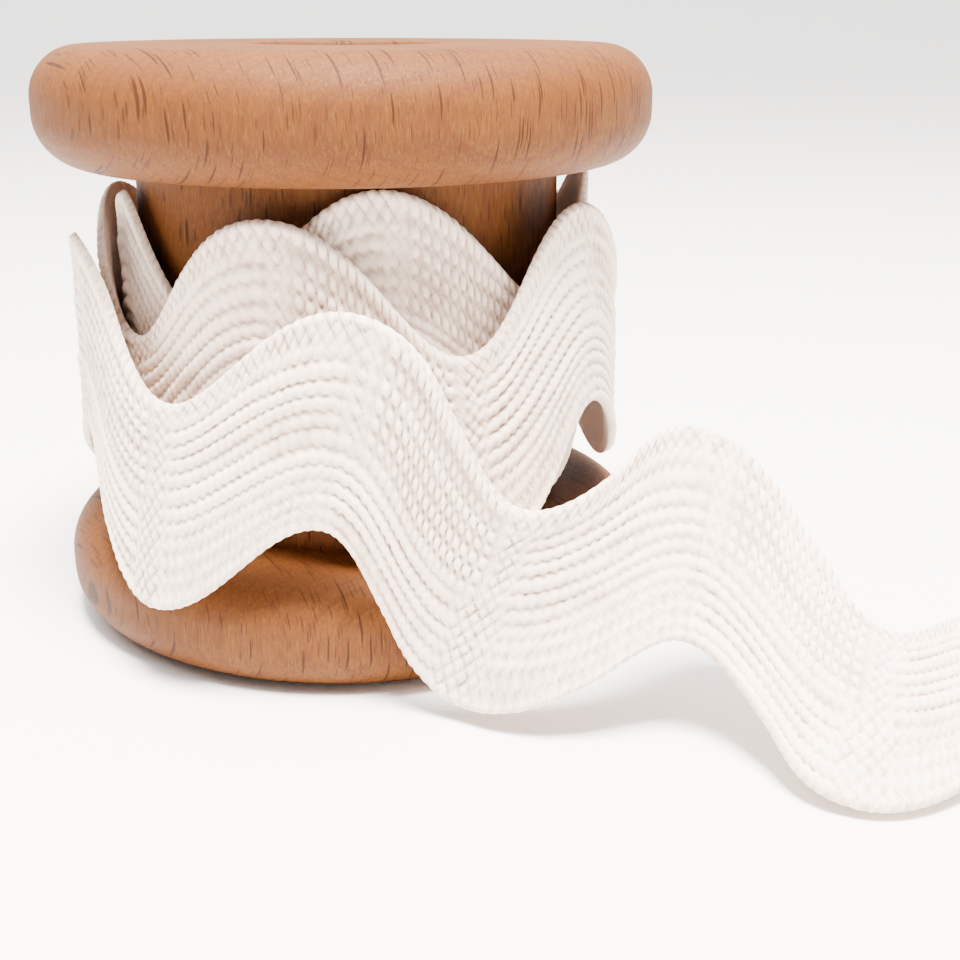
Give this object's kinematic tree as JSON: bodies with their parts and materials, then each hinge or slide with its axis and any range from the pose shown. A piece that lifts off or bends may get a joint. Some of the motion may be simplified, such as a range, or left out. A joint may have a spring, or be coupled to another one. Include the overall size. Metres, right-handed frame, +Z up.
{
  "type": "roll of ric rac on wooden spool",
  "caption": "Wide wavy braid trim wound loosely round a turned wooden spool with thick rounded flanges; its loose end runs out and lies down flat.",
  "frame": {"origin": "on the surface it stands on, under the middle of the whole box of spool and loose end", "axes": "+Z up along the spool's axis; +X and -Y are the sides the loose end runs out to, farthest along +X"},
  "size_m": [0.0834, 0.0734, 0.0467],
  "materials": {
    "beech": "satin, steamed beech with the grain along the axis",
    "braid": "matt white cotton braid"
  },
  "bodies": {
    "root": {"spool": "beech", "wound_roll": "braid", "loose_end": "braid"}
  },
  "joints": []
}
